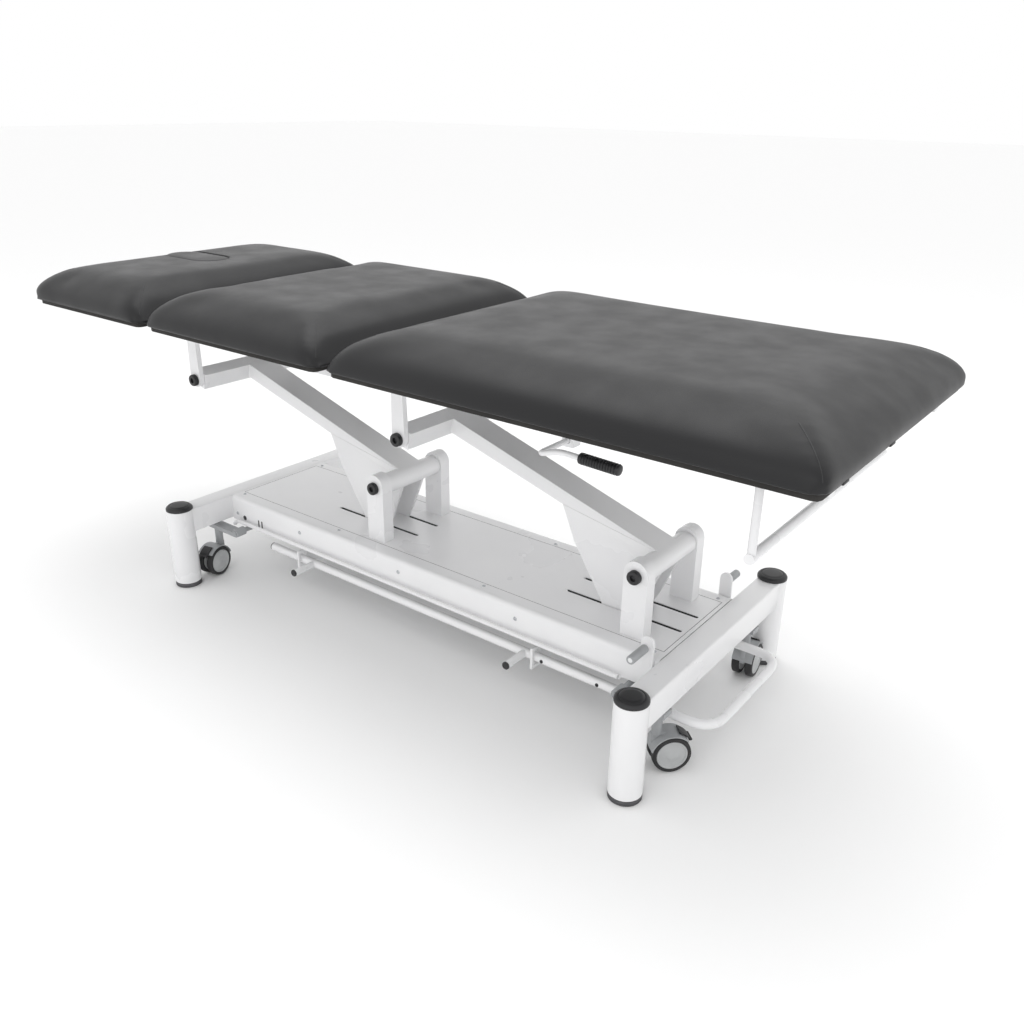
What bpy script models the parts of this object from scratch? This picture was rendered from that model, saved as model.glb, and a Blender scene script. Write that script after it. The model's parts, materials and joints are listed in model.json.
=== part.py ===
"""Height-adjustable examination couch: three upholstered sections on a parallelogram lift.

Frame: the origin is on the floor under the middle of the couch, +Z is up, +X points to the
foot end, -Y is the near side. Metres throughout. Run with blender --background --python part.py
"""
from math import atan2, cos, pi, radians, sin, sqrt, tan

import bmesh
import bpy
from mathutils import Matrix, Vector

NAME = "examination_couch"
GAP = 0.0003            # between two pieces that touch
PLAY = 0.0006           # radial play of a shaft in its hole
SIDES = 16              # facets of a small round piece

# driving dimensions: upholstery
PAD_LENGTH, PAD_WIDTH = 1.95, 0.70
PAD_BOTTOM, PAD_TOP = 0.664, 0.737
PAD_ROLL, PAD_CORNER = 0.10, 0.045
HEAD_AXIS_X, BACK_AXIS_X = -0.534, 0.026
SECTION_AXIS_Z = 0.650
BACK_MAX = 60.0
BOARD_BOTTOM = 0.650
BOARD_INSET = 0.012
HINGE_INSET = 0.020
FRAME_BOTTOM, FRAME_TUBE = 0.628, 0.022
HOLE_X, HOLE_LENGTH, HOLE_WIDTH = -0.80, 0.20, 0.10

# driving dimensions: lift
PIVOT_Z = 0.326
PIVOT_FOOT_X, PIVOT_SPACING = 0.580, 0.665
PIVOT_HEAD_X = PIVOT_FOOT_X - PIVOT_SPACING
ARM_RUN, ARM_RISE = -0.522, 0.164
HANG_Z = PIVOT_Z + ARM_RISE
ARM_HALF, ARM_PLATE = 0.036, 0.006
LEVER_X, LEVER_Z = -0.085, -0.185
CRANK_Y, CRANK_R, STRUT_Z = 0.060, 0.090, 0.566
BOLT_R, BOLT_HEAD_R, PIN_R = 0.006, 0.0138, 0.005

# driving dimensions: base
LEG_X = (-0.576, 0.687)
LEG_Y, LEG_R = 0.286, 0.031
BEAM_TOP, BEAM_WIDTH, BEAM_HEIGHT = 0.1995, 0.050, 0.060
FOOT_HEIGHT, CAP_BOTTOM, CAP_TOP = 0.011, 0.1993, 0.210
COVER_HALF, COVER_BOTTOM, COVER_SHEET = 0.153, 0.130, 0.002
COVER_X = (LEG_X[0] + BEAM_WIDTH / 2 + GAP, LEG_X[1] - BEAM_WIDTH / 2 - GAP)
POST_Y, POST_WIDTH, POST_DEPTH, POST_TOP = 0.096, 0.050, 0.030, 0.356
RAIL_Z = (0.150, 0.190)
UPPER_RAIL_Y, UPPER_RAIL_WIDTH = 0.175, 0.030
UPPER_RAIL_Z = (0.590, 0.626)
HANGER_Y, HANGER_THICK = 0.171, 0.012

# driving dimensions: controls and wheels
BAR_Z, BAR_Y, BAR_R, BAR_END_X, BAR_NOSE_X = 0.100, 0.148, 0.0095, -0.406, 0.7755
PEG_X, PEG_REACH = (-0.259, 0.364), 0.2125
SHAFT_Z, SHAFT_R = 0.128, 0.006
PEDAL_X = 0.641
CARRIER_X = (-0.489, 0.606)
CASTER_Y, CASTER_TRAIL, WHEEL_R, WHEEL_Z = 0.185, 0.026, 0.0365, 0.0375
CASTER_YAW = {"head_left": -78.0, "head_right": 150.0, "foot_left": 47.0, "foot_right": 95.0}

ENDS = ("head", "foot")
HANDS = ((-1, "left"), (1, "right"))
WHITE = ((0.86, 0.87, 0.88), 0.35, 0.0)
BLACK = ((0.012, 0.012, 0.014), 0.45, 0.0)
VINYL = ((0.022, 0.022, 0.024), 0.48, 0.0)
RUBBER = ((0.09, 0.09, 0.095), 0.8, 0.0)
GREY = ((0.42, 0.43, 0.44), 0.5, 0.0)
STEEL = ((0.55, 0.56, 0.58), 0.3, 1.0)
BOARD = ((0.05, 0.045, 0.04), 0.8, 0.0)

for old in list(bpy.data.objects):
    bpy.data.objects.remove(old, do_unlink=True)
parts = bpy.data.collections.new(NAME)
cutters = bpy.data.collections.new("cutters")
bpy.context.scene.collection.children.link(parts)
bpy.context.scene.collection.children.link(cutters)


# ---------------------------------------------------------------- helpers
def material(name, look):
    colour, roughness, metallic = look
    mat = bpy.data.materials.new(name)
    mat.use_nodes = True
    shader = mat.node_tree.nodes["Principled BSDF"]
    shader.inputs["Base Color"].default_value = (*colour, 1.0)
    shader.inputs["Roughness"].default_value = roughness
    shader.inputs["Metallic"].default_value = metallic
    return mat


def mesh_object(name, bm):
    """An object made from a bmesh, not yet in a collection."""
    mesh = bpy.data.meshes.new(name)
    bm.to_mesh(mesh)
    bm.free()
    return bpy.data.objects.new(name, mesh)


def block(low, high, bevel=0.0, axis=None):
    """A box from corner to corner; bevel rounds its edges, or only those along one axis."""
    bm = bmesh.new()
    bmesh.ops.create_cube(bm, size=1.0)
    size = [b - a for a, b in zip(low, high)]
    centre = [(a + b) / 2 for a, b in zip(low, high)]
    bmesh.ops.scale(bm, vec=size, verts=bm.verts)
    bmesh.ops.translate(bm, vec=centre, verts=bm.verts)
    if bevel:
        edges = [e for e in bm.edges if axis is None or along(e, axis)]
        bmesh.ops.bevel(bm, geom=edges, offset=bevel, segments=2, profile=0.5, affect="EDGES",
                        material=-1)
    return mesh_object("block", bm)


def along(edge, axis):
    direction = edge.verts[1].co - edge.verts[0].co
    return abs(direction[axis]) > 0.99 * direction.length


def rod(start, end, radius, end_radius=None, sides=SIDES):
    """A round bar, or a cone, from one point to another."""
    start, end = Vector(start), Vector(end)
    bm = bmesh.new()
    span = end - start
    bmesh.ops.create_cone(bm, cap_ends=True, segments=sides, radius1=radius,
                          radius2=radius if end_radius is None else end_radius,
                          depth=span.length)
    turn = span.to_track_quat("Z", "Y").to_matrix().to_4x4()
    bmesh.ops.transform(bm, verts=bm.verts,
                        matrix=Matrix.Translation((start + end) / 2) @ turn)
    shape = mesh_object("rod", bm)
    shade(shape)
    return shape


def shade(shape):
    shape.data.shade_smooth()
    shape.data.set_sharp_from_angle(angle=radians(40))


def curve_mesh(name, curve, matrix):
    """The solid of a curve, with its caps welded on."""
    holder = bpy.data.objects.new(name, curve)
    parts.objects.link(holder)
    holder.matrix_world = matrix
    bpy.context.view_layer.update()
    evaluated = holder.evaluated_get(bpy.context.evaluated_depsgraph_get())
    mesh = bpy.data.meshes.new_from_object(evaluated)
    bm = bmesh.new()
    bm.from_mesh(mesh)
    bmesh.ops.remove_doubles(bm, verts=bm.verts, dist=0.00001)
    bmesh.ops.transform(bm, verts=bm.verts, matrix=matrix)
    bmesh.ops.recalc_face_normals(bm, faces=bm.faces)
    bpy.data.objects.remove(holder, do_unlink=True)
    bpy.data.meshes.remove(mesh)
    return mesh_object(name, bm)


def plate(outline, low_y, high_y):
    """A flat piece: an outline of (x, z) points, from low_y to high_y."""
    curve = bpy.data.curves.new("plate", "CURVE")
    curve.dimensions = "2D"
    curve.fill_mode = "BOTH"
    curve.extrude = (high_y - low_y) / 2
    spline = curve.splines.new("POLY")
    spline.points.add(len(outline) - 1)
    for point, (x, z) in zip(spline.points, outline):
        point.co = (x, z, 0.0, 1.0)
    spline.use_cyclic_u = True
    stand = Matrix.Translation((0, (low_y + high_y) / 2, 0)) @ Matrix.Rotation(pi / 2, 4, "X")
    return curve_mesh("plate", curve, stand)


def tube(points, radius, resolution=2):
    """A bent bar through a list of points, with filled ends."""
    curve = bpy.data.curves.new("tube", "CURVE")
    curve.dimensions = "3D"
    curve.bevel_depth = radius
    curve.bevel_resolution = resolution
    curve.use_fill_caps = True
    spline = curve.splines.new("POLY")
    spline.points.add(len(points) - 1)
    for point, place in zip(spline.points, points):
        point.co = (*place, 1.0)
    shape = curve_mesh("tube", curve, Matrix.Identity(4))
    shade(shape)
    return shape


def arc(centre, radius, start, end, steps):
    """Points (a, b) on an arc, in degrees from the first axis."""
    angles = [radians(start + (end - start) * i / steps) for i in range(steps + 1)]
    return [(centre[0] + radius * cos(a), centre[1] + radius * sin(a)) for a in angles]


def capsule(start, end, radius, steps=6):
    """An outline with two round ends, the second radius-wide end at end."""
    heading = atan2(end[1] - start[1], end[0] - start[0]) * 180 / pi
    return (arc(end, radius, heading - 90, heading + 90, steps)
            + arc(start, radius, heading + 90, heading + 270, steps))


def combine(base, others, operation):
    """Boolean modifiers on base; the other shapes become hidden cutters."""
    for number, other in enumerate(others):
        cutters.objects.link(other)
        other.name = f"cutter_{len(cutters.objects)}"
        other.hide_render = True
        other.display_type = "WIRE"
        modifier = base.modifiers.new(f"{operation.lower()}_{number}", "BOOLEAN")
        modifier.operation = operation
        modifier.solver = "EXACT"
        modifier.object = other
    return base


def weld(base, *others):
    return combine(base, others, "UNION")


def drill(base, *others):
    return combine(base, others, "DIFFERENCE")


def bake(shape):
    """The shape with its modifiers worked out, as a plain mesh."""
    parts.objects.link(shape)
    bpy.context.view_layer.update()
    evaluated = shape.evaluated_get(bpy.context.evaluated_depsgraph_get())
    mesh = bpy.data.meshes.new_from_object(evaluated)
    bpy.data.objects.remove(shape, do_unlink=True)
    return bpy.data.objects.new("baked", mesh)


def part(name, shape, look, parent=None):
    """Name a shape as one sub-part and hang it on its joint's empty."""
    shape.name = name
    shape.data.name = name
    shape.data.materials.clear()
    shape.data.materials.append(material(name, look))
    parts.objects.link(shape)
    if parent:
        shape.parent = parent
        shape.matrix_parent_inverse = parent.matrix_world.inverted()
    return shape


def joint(name, place, parent=None, yaw=0.0):
    """An empty on a joint's axis."""
    empty = bpy.data.objects.new(name, None)
    empty.matrix_world = Matrix.Translation(place) @ Matrix.Rotation(radians(yaw), 4, "Z")
    parts.objects.link(empty)
    bpy.context.view_layer.update()
    if parent:
        empty.parent = parent
        empty.matrix_parent_inverse = parent.matrix_world.inverted()
        bpy.context.view_layer.update()
    return empty


def mirrored_y(make):
    """The near and the far copy of a piece; make takes -1 or +1."""
    return [make(side) for side in (-1, 1)]


def span_y(side, inner, outer):
    """The two y limits, low first, of something between inner and outer on one side."""
    return tuple(sorted((side * inner, side * outer)))


# ---------------------------------------------------------------- base
def end_frame(leg_x):
    half = BEAM_WIDTH / 2
    beam = block((leg_x - half, -LEG_Y, BEAM_TOP - BEAM_HEIGHT), (leg_x + half, LEG_Y, BEAM_TOP))
    legs = mirrored_y(lambda side: rod((leg_x, side * LEG_Y, FOOT_HEIGHT + GAP),
                                       (leg_x, side * LEG_Y, CAP_BOTTOM), LEG_R, sides=24))
    return weld(beam, *legs)


def leg_disc(x, side, low, high, top_radius):
    """A disc on one leg, narrowing upwards to top_radius."""
    return rod((x, side * LEG_Y, low), (x, side * LEG_Y, high), LEG_R, top_radius, 24)


def base_rail(side):
    """A long rail with two posts, the wheel-lift shafts' bearings and the foot bar's guides."""
    low, high = span_y(side, POST_Y - POST_DEPTH / 2, POST_Y + POST_DEPTH / 2)
    rail = block((COVER_X[0], low, RAIL_Z[0]), (COVER_X[1], high, RAIL_Z[1]))
    bearings = [block((x - 0.012, side * POST_Y - 0.005, SHAFT_Z - 0.014),
                      (x + 0.012, side * POST_Y + 0.005, RAIL_Z[0] + 0.005))
                for x in (*CARRIER_X, PEDAL_X)]
    guides = []
    for x in (-0.30, 0.39):
        inner, outer = span_y(side, POST_Y - 0.006, BAR_Y + 0.016)
        top_low, top_high = span_y(side, POST_Y - 0.006, POST_Y + 0.008)
        guides.append(block((x - 0.0025, inner, 0.078), (x + 0.0025, outer, 0.124)))
        guides.append(block((x - 0.0025, top_low, 0.120), (x + 0.0025, top_high, RAIL_Z[0] + 0.005)))
    holes = [rod((x, side * POST_Y - 0.01, SHAFT_Z), (x, side * POST_Y + 0.01, SHAFT_Z),
                 SHAFT_R + PLAY) for x in (*CARRIER_X, PEDAL_X)]
    slots = [block((x - 0.01, side * BAR_Y - BAR_R - 0.001, BAR_Z - BAR_R - 0.007),
                   (x + 0.01, side * BAR_Y + BAR_R + 0.001, BAR_Z + BAR_R + 0.007))
             for x in (-0.30, 0.39)]
    posts = []
    for x in (PIVOT_HEAD_X, PIVOT_FOOT_X):
        half = POST_WIDTH / 2
        outline = ([(x - half, RAIL_Z[1] - 0.01), (x + half, RAIL_Z[1] - 0.01)]
                   + arc((x, POST_TOP - half), half, 0, 180, 8))
        posts.append(plate(outline, low, high))
        holes.append(rod((x, low - 0.01, PIVOT_Z), (x, high + 0.01, PIVOT_Z), BOLT_R + PLAY))
    return drill(weld(rail, *posts, *bearings, *guides), *holes, *slots)


def base_cover():
    """The sheet cover: an inverted channel with slots for the levers and the posts."""
    outer = block((COVER_X[0], -COVER_HALF, COVER_BOTTOM), (COVER_X[1], COVER_HALF, BEAM_TOP + 0.02))
    trim = block((-1, -1, BEAM_TOP), (1, 1, 1))
    inner = block((-1, -COVER_HALF + COVER_SHEET, 0), (1, COVER_HALF - COVER_SHEET,
                                                       BEAM_TOP - COVER_SHEET))
    cuts = [trim, inner]
    for side in (-1, 1):
        low, high = span_y(side, ARM_HALF - 0.008, ARM_HALF + 0.003)
        cuts += [block((x0, low, 0.19), (x1, high, 0.21)) for x0, x1 in ((-0.286, -0.03), (0.38, 0.645))]
        low, high = span_y(side, POST_Y - POST_DEPTH / 2 - 0.0005, POST_Y + POST_DEPTH / 2 + 0.0005)
        cuts += [block((x - POST_WIDTH / 2 - 0.0005, low, 0.19), (x + POST_WIDTH / 2 + 0.0005, high, 0.21))
                 for x in (PIVOT_HEAD_X, PIVOT_FOOT_X)]
    cuts.append(block((-1, -1, 0.1), (CARRIER_X[0] + 0.015, 1, SHAFT_Z + 0.009)))
    cuts.append(block((CARRIER_X[1] - 0.015, -1, 0.1), (1, 1, SHAFT_Z + 0.009)))
    return bake(drill(outer, *cuts))


def pivot_shaft(x, z, face_y):
    """A shaft right across the couch with a round socket head outside each face_y."""
    shaft = rod((x, -face_y - 0.004, z), (x, face_y + 0.004, z), BOLT_R)
    heads, sockets = [], []
    for side in (-1, 1):
        heads.append(rod((x, side * (face_y + GAP), z), (x, side * (face_y + 0.010), z), BOLT_HEAD_R))
        sockets.append(rod((x, side * (face_y + 0.006), z), (x, side * (face_y + 0.02), z), 0.0045,
                           sides=6))
    return drill(weld(shaft, *heads), *sockets)


def build_base():
    part("end_frame_head", end_frame(LEG_X[0]), WHITE)
    part("end_frame_foot", end_frame(LEG_X[1]), WHITE)
    for side, hand in HANDS:
        for end, x in zip(ENDS, LEG_X):
            cap = leg_disc(x, side, CAP_BOTTOM + GAP, CAP_TOP, LEG_R - 0.004)
            part(f"leg_cap_{end}_{hand}", cap, BLACK)
            part(f"leg_foot_{end}_{hand}", leg_disc(x, side, 0.0, FOOT_HEIGHT, LEG_R), RUBBER)
        part(f"base_rail_{hand}", base_rail(side), WHITE)
    part("base_cover", base_cover(), WHITE)
    for end, x in zip(ENDS, (PIVOT_HEAD_X, PIVOT_FOOT_X)):
        part(f"lower_shaft_{end}", pivot_shaft(x, PIVOT_Z, POST_Y + POST_DEPTH / 2), BLACK)
    part("control_box", block((-0.46, -0.075, 0.116), (-0.30, 0.075, 0.188), 0.004), GREY)
    inlet = block((-0.40, 0.0753, 0.118), (-0.352, 0.104, 0.146))
    part("mains_inlet", drill(inlet, block((-0.395, 0.09, 0.123), (-0.357, 0.12, 0.141))), BLACK)
    motor = block((0.03, -0.072, 0.116), (0.13, 0.008, 0.190), 0.006)
    barrel = rod((0.12, -0.009, 0.141), (0.38, -0.009, 0.141), 0.0165)
    bore = rod((0.15, -0.009, 0.141), (0.40, -0.009, 0.141), 0.0102)
    part("actuator_body", drill(weld(motor, barrel), bore), GREY)
    part("switch_box", block((0.45, -0.125, 0.118), (0.56, -0.085, RAIL_Z[0] - GAP), 0.003), BLACK)


# ---------------------------------------------------------------- lift
def lift_arm(pivot_x):
    """Arm, cross tubes and the two lever plates that reach down through the cover."""
    def at(x, z):
        return (pivot_x + x, PIVOT_Z + z)
    rise = atan2(ARM_RISE, -ARM_RUN)
    along_arm, across = Vector((-cos(rise), sin(rise))), Vector((sin(rise), cos(rise)))
    top = Vector((ARM_RUN, ARM_RISE)) + 0.019 * across
    arm = [at(*(top + 0.004 * along_arm)), at(*(0.022 * across)), at(-0.03, -0.012), at(-0.208, 0.0575),
           at(*(Vector((ARM_RUN, ARM_RISE)) - 0.014 * across + 0.004 * along_arm))]
    lever = ([at(*(0.0215 * across)), at(-0.215, 0.060), at(-0.184, -0.012), at(-0.114, -0.122)]
             + [at(*p) for p in arc((LEVER_X, LEVER_Z), 0.018, 180, 340, 6)]
             + [at(-0.022, -0.10), at(0.012, -0.018)])
    body = plate(arm, -ARM_HALF + 0.001, ARM_HALF - 0.001)
    levers = [plate(lever, *span_y(side, ARM_HALF - ARM_PLATE, ARM_HALF)) for side in (-1, 1)]
    low_tube = rod((pivot_x, -0.0803, PIVOT_Z), (pivot_x, 0.0803, PIVOT_Z), 0.0225, sides=24)
    high_tube = block((-0.019, -0.1640, -0.019), (0.019, 0.1640, 0.019))
    turn = Matrix.Translation((pivot_x + ARM_RUN, 0, HANG_Z)) @ Matrix.Rotation(rise, 4, "Y")
    high_tube.data.transform(turn)
    pin_x, pin_z = at(LEVER_X, LEVER_Z)
    lever_pin = rod((pin_x, -0.032, pin_z), (pin_x, 0.032, pin_z), 0.007)
    bores = [rod((x, -0.2, z), (x, 0.2, z), BOLT_R + PLAY)
             for x, z in ((pivot_x, PIVOT_Z), (pivot_x + ARM_RUN, HANG_Z))]
    return bake(drill(weld(body, *levers, low_tube, high_tube, lever_pin), *bores))


def build_lift():
    foot = joint("axis_arm_foot", (PIVOT_FOOT_X, 0, PIVOT_Z))
    head = joint("axis_arm_head", (PIVOT_HEAD_X, 0, PIVOT_Z))
    part("lift_arm_foot", lift_arm(PIVOT_FOOT_X), WHITE, foot)
    part("lift_arm_head", lift_arm(PIVOT_HEAD_X), WHITE, head)
    pin_z = PIVOT_Z + LEVER_Z
    ends = [(x + LEVER_X, pin_z) for x in (PIVOT_HEAD_X, PIVOT_FOOT_X)]
    bar = plate(capsule(ends[0], ends[1], 0.014), 0.014, 0.026)
    eyes = [rod((x, 0, z), (x, 0.04, z), 0.0078) for x, z in ends]
    link = joint("axis_link_bar", (ends[1][0], 0, pin_z), foot)
    part("lever_link_bar", drill(bar, *eyes), STEEL, link)
    fork_x = ends[1][0]
    slider = rod((0.24, -0.009, pin_z), (fork_x - 0.045, -0.009, pin_z), 0.0095)
    fork = block((fork_x - 0.050, -0.017, pin_z - 0.034), (fork_x + 0.026, -0.001, pin_z + 0.050))
    slot = block((fork_x - 0.0135, -0.03, pin_z - 0.027), (fork_x + 0.0135, 0.01, pin_z + 0.060))
    part("actuator_rod", drill(weld(slider, fork), slot), STEEL)
    return foot


# ---------------------------------------------------------------- upper frame and sections
def section_frame(x_low, x_high, outer_y, crossbars, bored=(), pinned=()):
    """Two side tubes and crossbars, with a bored or a pinned ear at each hinge axis."""
    frame_top = FRAME_BOTTOM + FRAME_TUBE - GAP
    tubes, holes = [], []
    for side in (-1, 1):
        low, high = span_y(side, outer_y - FRAME_TUBE, outer_y)
        tubes.append(block((x_low, low, FRAME_BOTTOM), (x_high, high, frame_top)))
        for x in (*bored, *pinned):
            tubes.append(rod((x, low, SECTION_AXIS_Z), (x, high, SECTION_AXIS_Z), 0.0115))
        for x in pinned:
            tubes.append(rod((x, side * 0.212, SECTION_AXIS_Z), (x, side * 0.265, SECTION_AXIS_Z),
                             PIN_R))
        for x in bored:
            holes.append(rod((x, side * 0.19, SECTION_AXIS_Z), (x, side * 0.28, SECTION_AXIS_Z),
                             PIN_R + PLAY))
    half = FRAME_TUBE / 2
    inner = outer_y - half
    tubes += [block((x - half, -inner, FRAME_BOTTOM), (x + half, inner, frame_top)) for x in crossbars]
    return drill(weld(tubes[0], *tubes[1:]), *holes)


def section_ends(x_low, x_high):
    """Whether each end of a section is a hinge end."""
    return x_low > -PAD_LENGTH / 2, x_high < PAD_LENGTH / 2


def board(x_low, x_high):
    hinged_low, hinged_high = section_ends(x_low, x_high)
    low = x_low + (HINGE_INSET if hinged_low else BOARD_INSET)
    high = x_high - (HINGE_INSET if hinged_high else BOARD_INSET)
    half = PAD_WIDTH / 2 - BOARD_INSET
    return block((low, -half, BOARD_BOTTOM), (high, half, PAD_BOTTOM - GAP), 0.012, axis=2)


def pad(x_low, x_high):
    """A pillow: rounded-rectangle rings that draw in towards the top.

    At a hinge the end leans back far enough for the neighbour to swing up beside it.
    """
    hinged = section_ends(x_low, x_high)
    lean = tan(radians(BACK_MAX / 2))
    rings = []
    bm = bmesh.new()
    for share in (0.0, 0.2, 0.42, 0.62, 0.80, 0.93, 1.0):
        z = PAD_BOTTOM + share * (PAD_TOP - PAD_BOTTOM)
        roll = PAD_ROLL * (1 - sqrt(1 - share * share))
        inset = [max(roll, lean * (z - SECTION_AXIS_Z) + 0.001) if h else roll for h in hinged]
        low, high, half = x_low + inset[0], x_high - inset[1], PAD_WIDTH / 2 - roll
        corner = PAD_CORNER
        outline = []
        for cx, cy, start in ((high - corner, half - corner, 0), (low + corner, half - corner, 90),
                              (low + corner, -half + corner, 180), (high - corner, -half + corner, 270)):
            outline += arc((cx, cy), corner, start, start + 90, 4)
        rings.append([bm.verts.new((x, y, z)) for x, y in outline])
    for below, above in zip(rings, rings[1:]):
        for i in range(len(below)):
            j = (i + 1) % len(below)
            bm.faces.new((below[i], below[j], above[j], above[i]))
    bm.faces.new(rings[-1])
    bm.faces.new(reversed(rings[0]))
    return mesh_object("pad", bm)


def face_hole(radius_less, z_low, z_high):
    """The breathing hole's rounded outline as an upright solid."""
    reach = HOLE_LENGTH / 2 - HOLE_WIDTH / 2
    shape = plate(capsule((HOLE_X - reach, 0), (HOLE_X + reach, 0), HOLE_WIDTH / 2 - radius_less),
                  -(z_high - z_low) / 2, (z_high - z_low) / 2)
    lay = Matrix.Translation((0, 0, (z_low + z_high) / 2)) @ Matrix.Rotation(pi / 2, 4, "X")
    shape.data.transform(lay)
    return shape


def build_upper(arm):
    upper = joint("axis_upper_frame", (PIVOT_FOOT_X + ARM_RUN, 0, HANG_Z), arm)
    rail_end = PIVOT_HEAD_X + ARM_RUN - 0.015
    low_z, high_z = UPPER_RAIL_Z
    pieces, holes = [], []
    for side in (-1, 1):
        low, high = span_y(side, UPPER_RAIL_Y - UPPER_RAIL_WIDTH / 2, UPPER_RAIL_Y + UPPER_RAIL_WIDTH / 2)
        pieces.append(block((rail_end, low, low_z), (0.905, high, high_z)))
        low, high = span_y(side, HANGER_Y - HANGER_THICK / 2, HANGER_Y + HANGER_THICK / 2)
        for x in (PIVOT_HEAD_X + ARM_RUN, PIVOT_FOOT_X + ARM_RUN):
            outline = ([(x + 0.0145, low_z + 0.01), (x - 0.0145, low_z + 0.01)]
                       + arc((x, HANG_Z), 0.0175, 180, 360, 8))
            pieces.append(plate(outline, low, high))
            holes.append(rod((x, low - 0.01, HANG_Z), (x, high + 0.01, HANG_Z), BOLT_R + PLAY))
    inner = UPPER_RAIL_Y
    pieces += [block((x - 0.013, -inner, 0.596), (x + 0.013, inner, high_z - 0.001))
               for x in (PIVOT_HEAD_X + ARM_RUN, 0.12, 0.445, 0.88)]
    part("upper_frame", drill(weld(pieces[0], *pieces[1:]), *holes), WHITE, upper)
    for end, x in zip(ENDS, (PIVOT_HEAD_X, PIVOT_FOOT_X)):
        shaft = pivot_shaft(x + ARM_RUN, HANG_Z, HANGER_Y + HANGER_THICK / 2)
        part(f"upper_shaft_{end}", shaft, BLACK, upper)
    foot_end = PAD_LENGTH / 2
    part("seat_frame", section_frame(BACK_AXIS_X, 0.95, 0.262, (0.10, 0.50, 0.93),
                                     pinned=(BACK_AXIS_X,)), WHITE, upper)
    part("seat_board", board(BACK_AXIS_X, foot_end), BOARD, upper)
    part("seat_cushion", pad(BACK_AXIS_X, foot_end), VINYL, upper)
    bow_x, bow_y, bow_z = 0.861, 0.285, 0.520
    legs = [rod((bow_x, side * bow_y, bow_z), (bow_x, side * bow_y, BOARD_BOTTOM - GAP), 0.0065)
            for side in (-1, 1)]
    bow = rod((bow_x, -bow_y - 0.008, bow_z), (bow_x, bow_y + 0.008, bow_z), 0.0085)
    part("paper_roll_bow", weld(bow, *legs), WHITE, upper)

    lever_x, lever_z = 0.470, 0.583
    bracket = block((lever_x - 0.012, -0.186, 0.571), (lever_x + 0.012, -0.162, low_z - GAP))
    hole = rod((lever_x, -0.2, lever_z), (lever_x, -0.15, lever_z), 0.005 + PLAY)
    part("release_bracket", drill(bracket, hole), WHITE, upper)
    release = joint("axis_release_lever", (lever_x, 0, lever_z), upper)
    corner = [(lever_x + x, -0.27 - y + 0.02, lever_z + x * 0.4)
              for x, y in ((0.0, 0.0), (0.004, 0.012), (0.012, 0.018), (0.022, 0.020))]
    lever = tube([(lever_x, -0.06, lever_z), *corner, (0.546, -0.27, 0.595), (0.622, -0.27, 0.592)], 0.005)
    part("release_lever", lever, WHITE, release)
    grip = rod((0.552, -0.27, 0.5948), (0.628, -0.27, 0.5918), 0.010)
    core = rod((0.540, -0.27, 0.5952), (0.6245, -0.27, 0.5919), 0.0056)
    part("release_grip", drill(grip, core), BLACK, release)
    build_strut(upper)
    build_sections(upper)


def build_strut(upper):
    """Gas strut between a cross member and the backrest's crank."""
    barrel = rod((0.20, CRANK_Y, STRUT_Z), (0.437, CRANK_Y, STRUT_Z), 0.011)
    tail = block((0.433, CRANK_Y - 0.007, STRUT_Z - 0.008), (0.457, CRANK_Y + 0.007, 0.596 - GAP))
    bore = rod((0.19, CRANK_Y, STRUT_Z), (0.41, CRANK_Y, STRUT_Z), 0.0056)
    part("gas_strut_cylinder", drill(weld(barrel, tail), bore), BLACK, upper)
    pin_x = BACK_AXIS_X + CRANK_R * sin(radians(BACK_MAX / 2))
    stem = rod((pin_x + 0.012, CRANK_Y, STRUT_Z), (0.390, CRANK_Y, STRUT_Z), 0.005)
    eye = block((pin_x - 0.016, CRANK_Y - 0.003, STRUT_Z - 0.020),
                (pin_x + 0.016, CRANK_Y + 0.011, STRUT_Z + 0.022))
    slot = block((pin_x - 0.0075, CRANK_Y - 0.02, STRUT_Z - 0.013),
                 (pin_x + 0.0075, CRANK_Y + 0.02, STRUT_Z + 0.013))
    part("gas_strut_rod", drill(weld(stem, eye), slot), STEEL, upper)


def crank(side_low, side_high):
    lean = radians(BACK_MAX / 2)
    pin = (BACK_AXIS_X + CRANK_R * sin(lean), SECTION_AXIS_Z - CRANK_R * cos(lean))
    root = (BACK_AXIS_X - 0.045, SECTION_AXIS_Z - 0.011)
    shape = plate(capsule(root, pin, 0.0095), side_low, side_high)
    stub = rod((pin[0], side_low + 0.002, pin[1]), (pin[0], CRANK_Y + 0.012, pin[1]), 0.005)
    return [shape, stub]


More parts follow.
